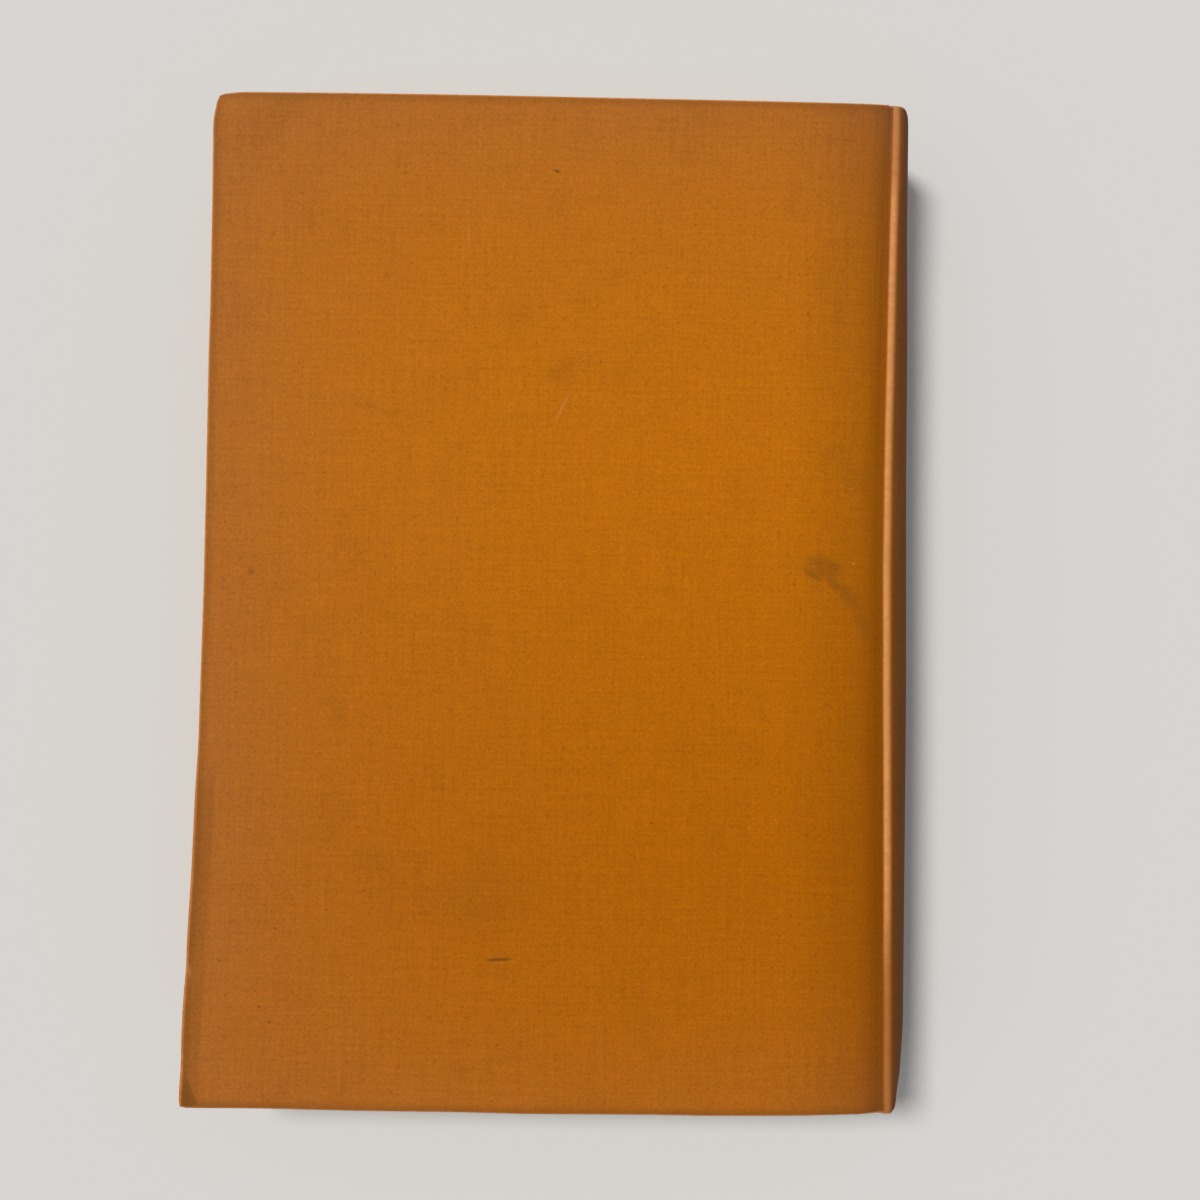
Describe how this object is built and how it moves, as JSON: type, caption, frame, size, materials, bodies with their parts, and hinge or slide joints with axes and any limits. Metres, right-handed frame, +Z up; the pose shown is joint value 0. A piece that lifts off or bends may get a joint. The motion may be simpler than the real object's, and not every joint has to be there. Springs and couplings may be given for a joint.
{
  "type": "hardback book",
  "caption": "Cloth-covered hardback book with a rounded, backed spine, grooved joints and two covers that open on cloth hinges.",
  "frame": {"origin": "on the table under the middle of the closed book's outline, with the book lying on its front cover", "axes": "+Z up, out of the back cover; +Y towards the head of the book; +X towards the spine"},
  "size_m": [0.1432, 0.203, 0.025],
  "materials": {
    "book_cloth": "worn plain-weave book cloth, ochre",
    "pages": "uncoated book paper, aged",
    "endpaper": "uncoated endpaper",
    "board": "grey binder's board",
    "mull": "open-weave starched cotton",
    "headband": "plain cotton headband"
  },
  "bodies": {
    "book_block": {"text_block": "pages", "front_flyleaf": "endpaper", "back_flyleaf": "endpaper", "mull": "mull", "spine_lining": "endpaper", "head_band": "headband", "tail_band": "headband", "spine_inlay": "board", "spine_cloth": "book_cloth"},
    "back_cover": {"back_board": "board", "back_cloth": "book_cloth", "back_mull_flange": "mull", "back_pastedown": "endpaper"},
    "front_cover": {"front_board": "board", "front_cloth": "book_cloth", "front_mull_flange": "mull", "front_pastedown": "endpaper"}
  },
  "joints": [
    {"name": "back_cover_hinge", "type": "hinge", "parent": "book_block", "child": "back_cover", "pos_m": [0.06317, 0, 0.025], "axis": [0, 1, 0], "range_deg": [0, 180]},
    {"name": "front_cover_hinge", "type": "hinge", "parent": "book_block", "child": "front_cover", "pos_m": [0.06317, 0, 0], "axis": [0, -1, 0], "range_deg": [0, 180]}
  ]
}
